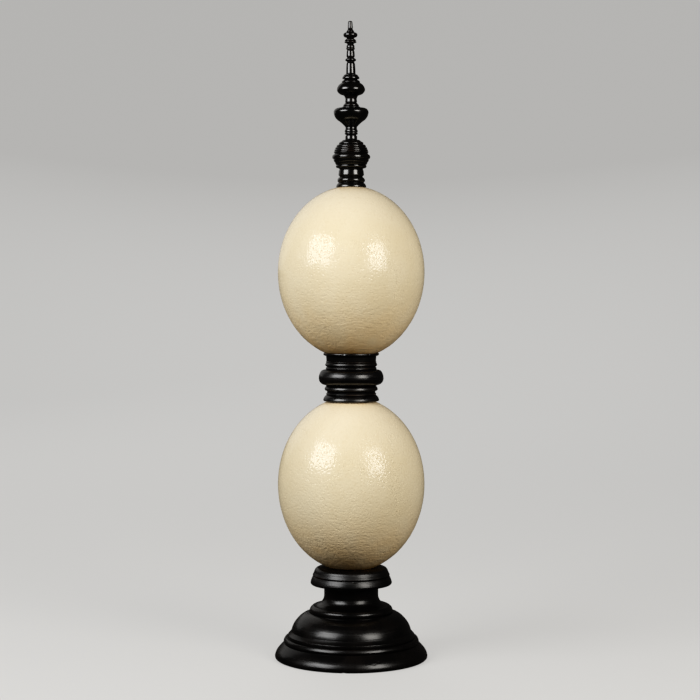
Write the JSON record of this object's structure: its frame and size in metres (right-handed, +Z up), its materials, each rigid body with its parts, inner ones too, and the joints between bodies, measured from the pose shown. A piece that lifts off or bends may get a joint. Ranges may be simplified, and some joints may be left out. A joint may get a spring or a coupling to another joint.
{
  "type": "mounted ostrich egg column",
  "caption": "Ostrich eggs held one above the other in a turned, ebonised wooden mount with a stepped foot, a collar between the eggs and a tall spired finial.",
  "frame": {"origin": "middle of the foot's flat underside, on the surface that the object stands on", "axes": "+Z up along the axis that every turning and both eggs share; the object is round, so +X and +Y are free, and the picture looks along +Y"},
  "size_m": [0.1336, 0.1336, 0.5553],
  "materials": {
    "eggshell": "satin",
    "ebonised_wood": "satin"
  },
  "bodies": {
    "root": {"foot": "ebonised_wood", "cup": "ebonised_wood", "lower_egg": "eggshell", "collar": "ebonised_wood", "upper_egg": "eggshell", "knop": "ebonised_wood", "spire": "ebonised_wood"}
  },
  "joints": []
}
